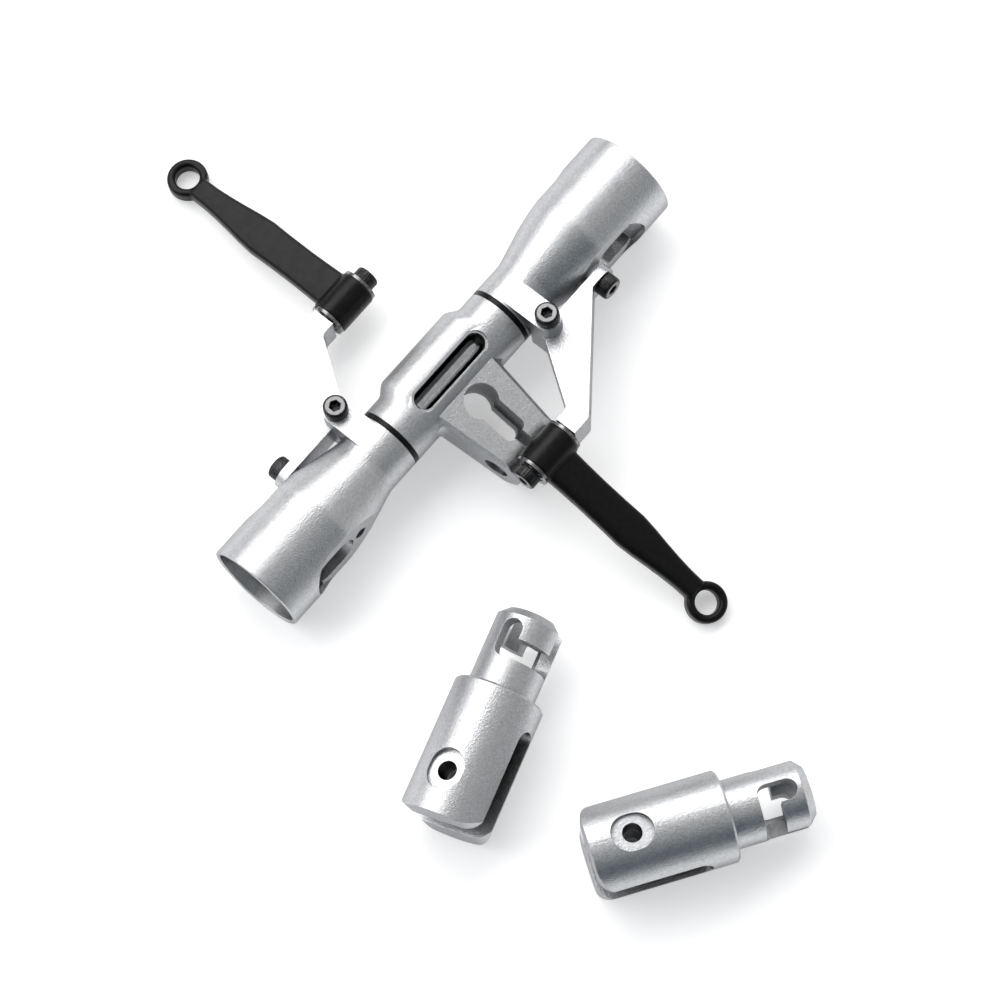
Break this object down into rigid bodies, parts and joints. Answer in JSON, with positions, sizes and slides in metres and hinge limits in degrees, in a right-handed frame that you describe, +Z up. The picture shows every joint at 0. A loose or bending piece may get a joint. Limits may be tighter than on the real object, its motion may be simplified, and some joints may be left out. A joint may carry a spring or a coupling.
{
  "type": "helicopter rotor hub",
  "caption": "Small rotor head lying on its side: split clamp hub, aluminium blade grips with pitch arms and hinged control links, and loose quick-release blade holders.",
  "frame": {"origin": "where the mast bolt's axis crosses the rotor shaft's axis", "axes": "+X along the mast bolt and the feathering axis, +Y away from the rotor shaft, +Z up from the table that the parts lie on; the hub is turned 10.5 degrees about X, as it lies"},
  "size_m": [0.0984, 0.1429, 0.0171],
  "materials": {
    "satin_aluminium": "bead-blasted satin",
    "black_plastic": "moulded, satin",
    "polished_steel": "ground and polished",
    "bearing_steel": "ground",
    "black_steel": "black oxide",
    "rubber": "matte"
  },
  "bodies": {
    "hub": {"hub_yoke": "satin_aluminium", "feathering_spindle": "polished_steel", "damper_rings": "rubber", "spacer_rings": "black_plastic", "spindle_washers": "bearing_steel", "spindle_screws": "black_steel"},
    "grip_right": {"blade_grip_right": "satin_aluminium", "radial_bearings_right": "bearing_steel", "thrust_races_right": "bearing_steel", "thrust_balls_right": "bearing_steel", "pitch_arm_right": "satin_aluminium", "lug_screw_right": "black_steel", "catch_screw_right": "black_steel", "catch_pin_right": "black_steel", "hinge_screw_right": "black_steel", "hinge_washer_right": "bearing_steel"},
    "grip_left": {"blade_grip_left": "satin_aluminium", "radial_bearings_left": "bearing_steel", "thrust_races_left": "bearing_steel", "thrust_balls_left": "bearing_steel", "pitch_arm_left": "satin_aluminium", "lug_screw_left": "black_steel", "catch_screw_left": "black_steel", "catch_pin_left": "black_steel", "hinge_screw_left": "black_steel", "hinge_washer_left": "bearing_steel"},
    "link_right": {"link_right": "black_plastic", "link_bearings_right": "bearing_steel"},
    "link_left": {"link_left": "black_plastic", "link_bearings_left": "bearing_steel"},
    "holder_1": {"blade_holder_1": "satin_aluminium"},
    "holder_2": {"blade_holder_2": "satin_aluminium"}
  },
  "joints": [
    {"name": "pitch_right", "type": "hinge", "parent": "hub", "child": "grip_right", "pos_m": [0, 0.01475, 0.00273], "axis": [1, 0, 0], "range_deg": [-95, 0]},
    {"name": "pitch_left", "type": "hinge", "parent": "hub", "child": "grip_left", "pos_m": [0, 0.01475, 0.00273], "axis": [1, 0, 0], "range_deg": [-95, 0]},
    {"name": "link_right_hinge", "type": "hinge", "parent": "grip_right", "child": "link_right", "pos_m": [0, -0.0054, 0.00521], "axis": [1, 0, 0], "range_deg": [-75, 8]},
    {"name": "link_left_hinge", "type": "hinge", "parent": "grip_left", "child": "link_left", "pos_m": [0, 0.03495, 0.00075], "axis": [1, 0, 0], "range_deg": [-92, 15]},
    {"name": "holder_1_lift", "type": "slide", "parent": "hub", "child": "holder_1", "axis": [0, 0, 1], "range_m": [0, 0.02]},
    {"name": "holder_2_lift", "type": "slide", "parent": "hub", "child": "holder_2", "axis": [0, 0, 1], "range_m": [0, 0.02]}
  ]
}
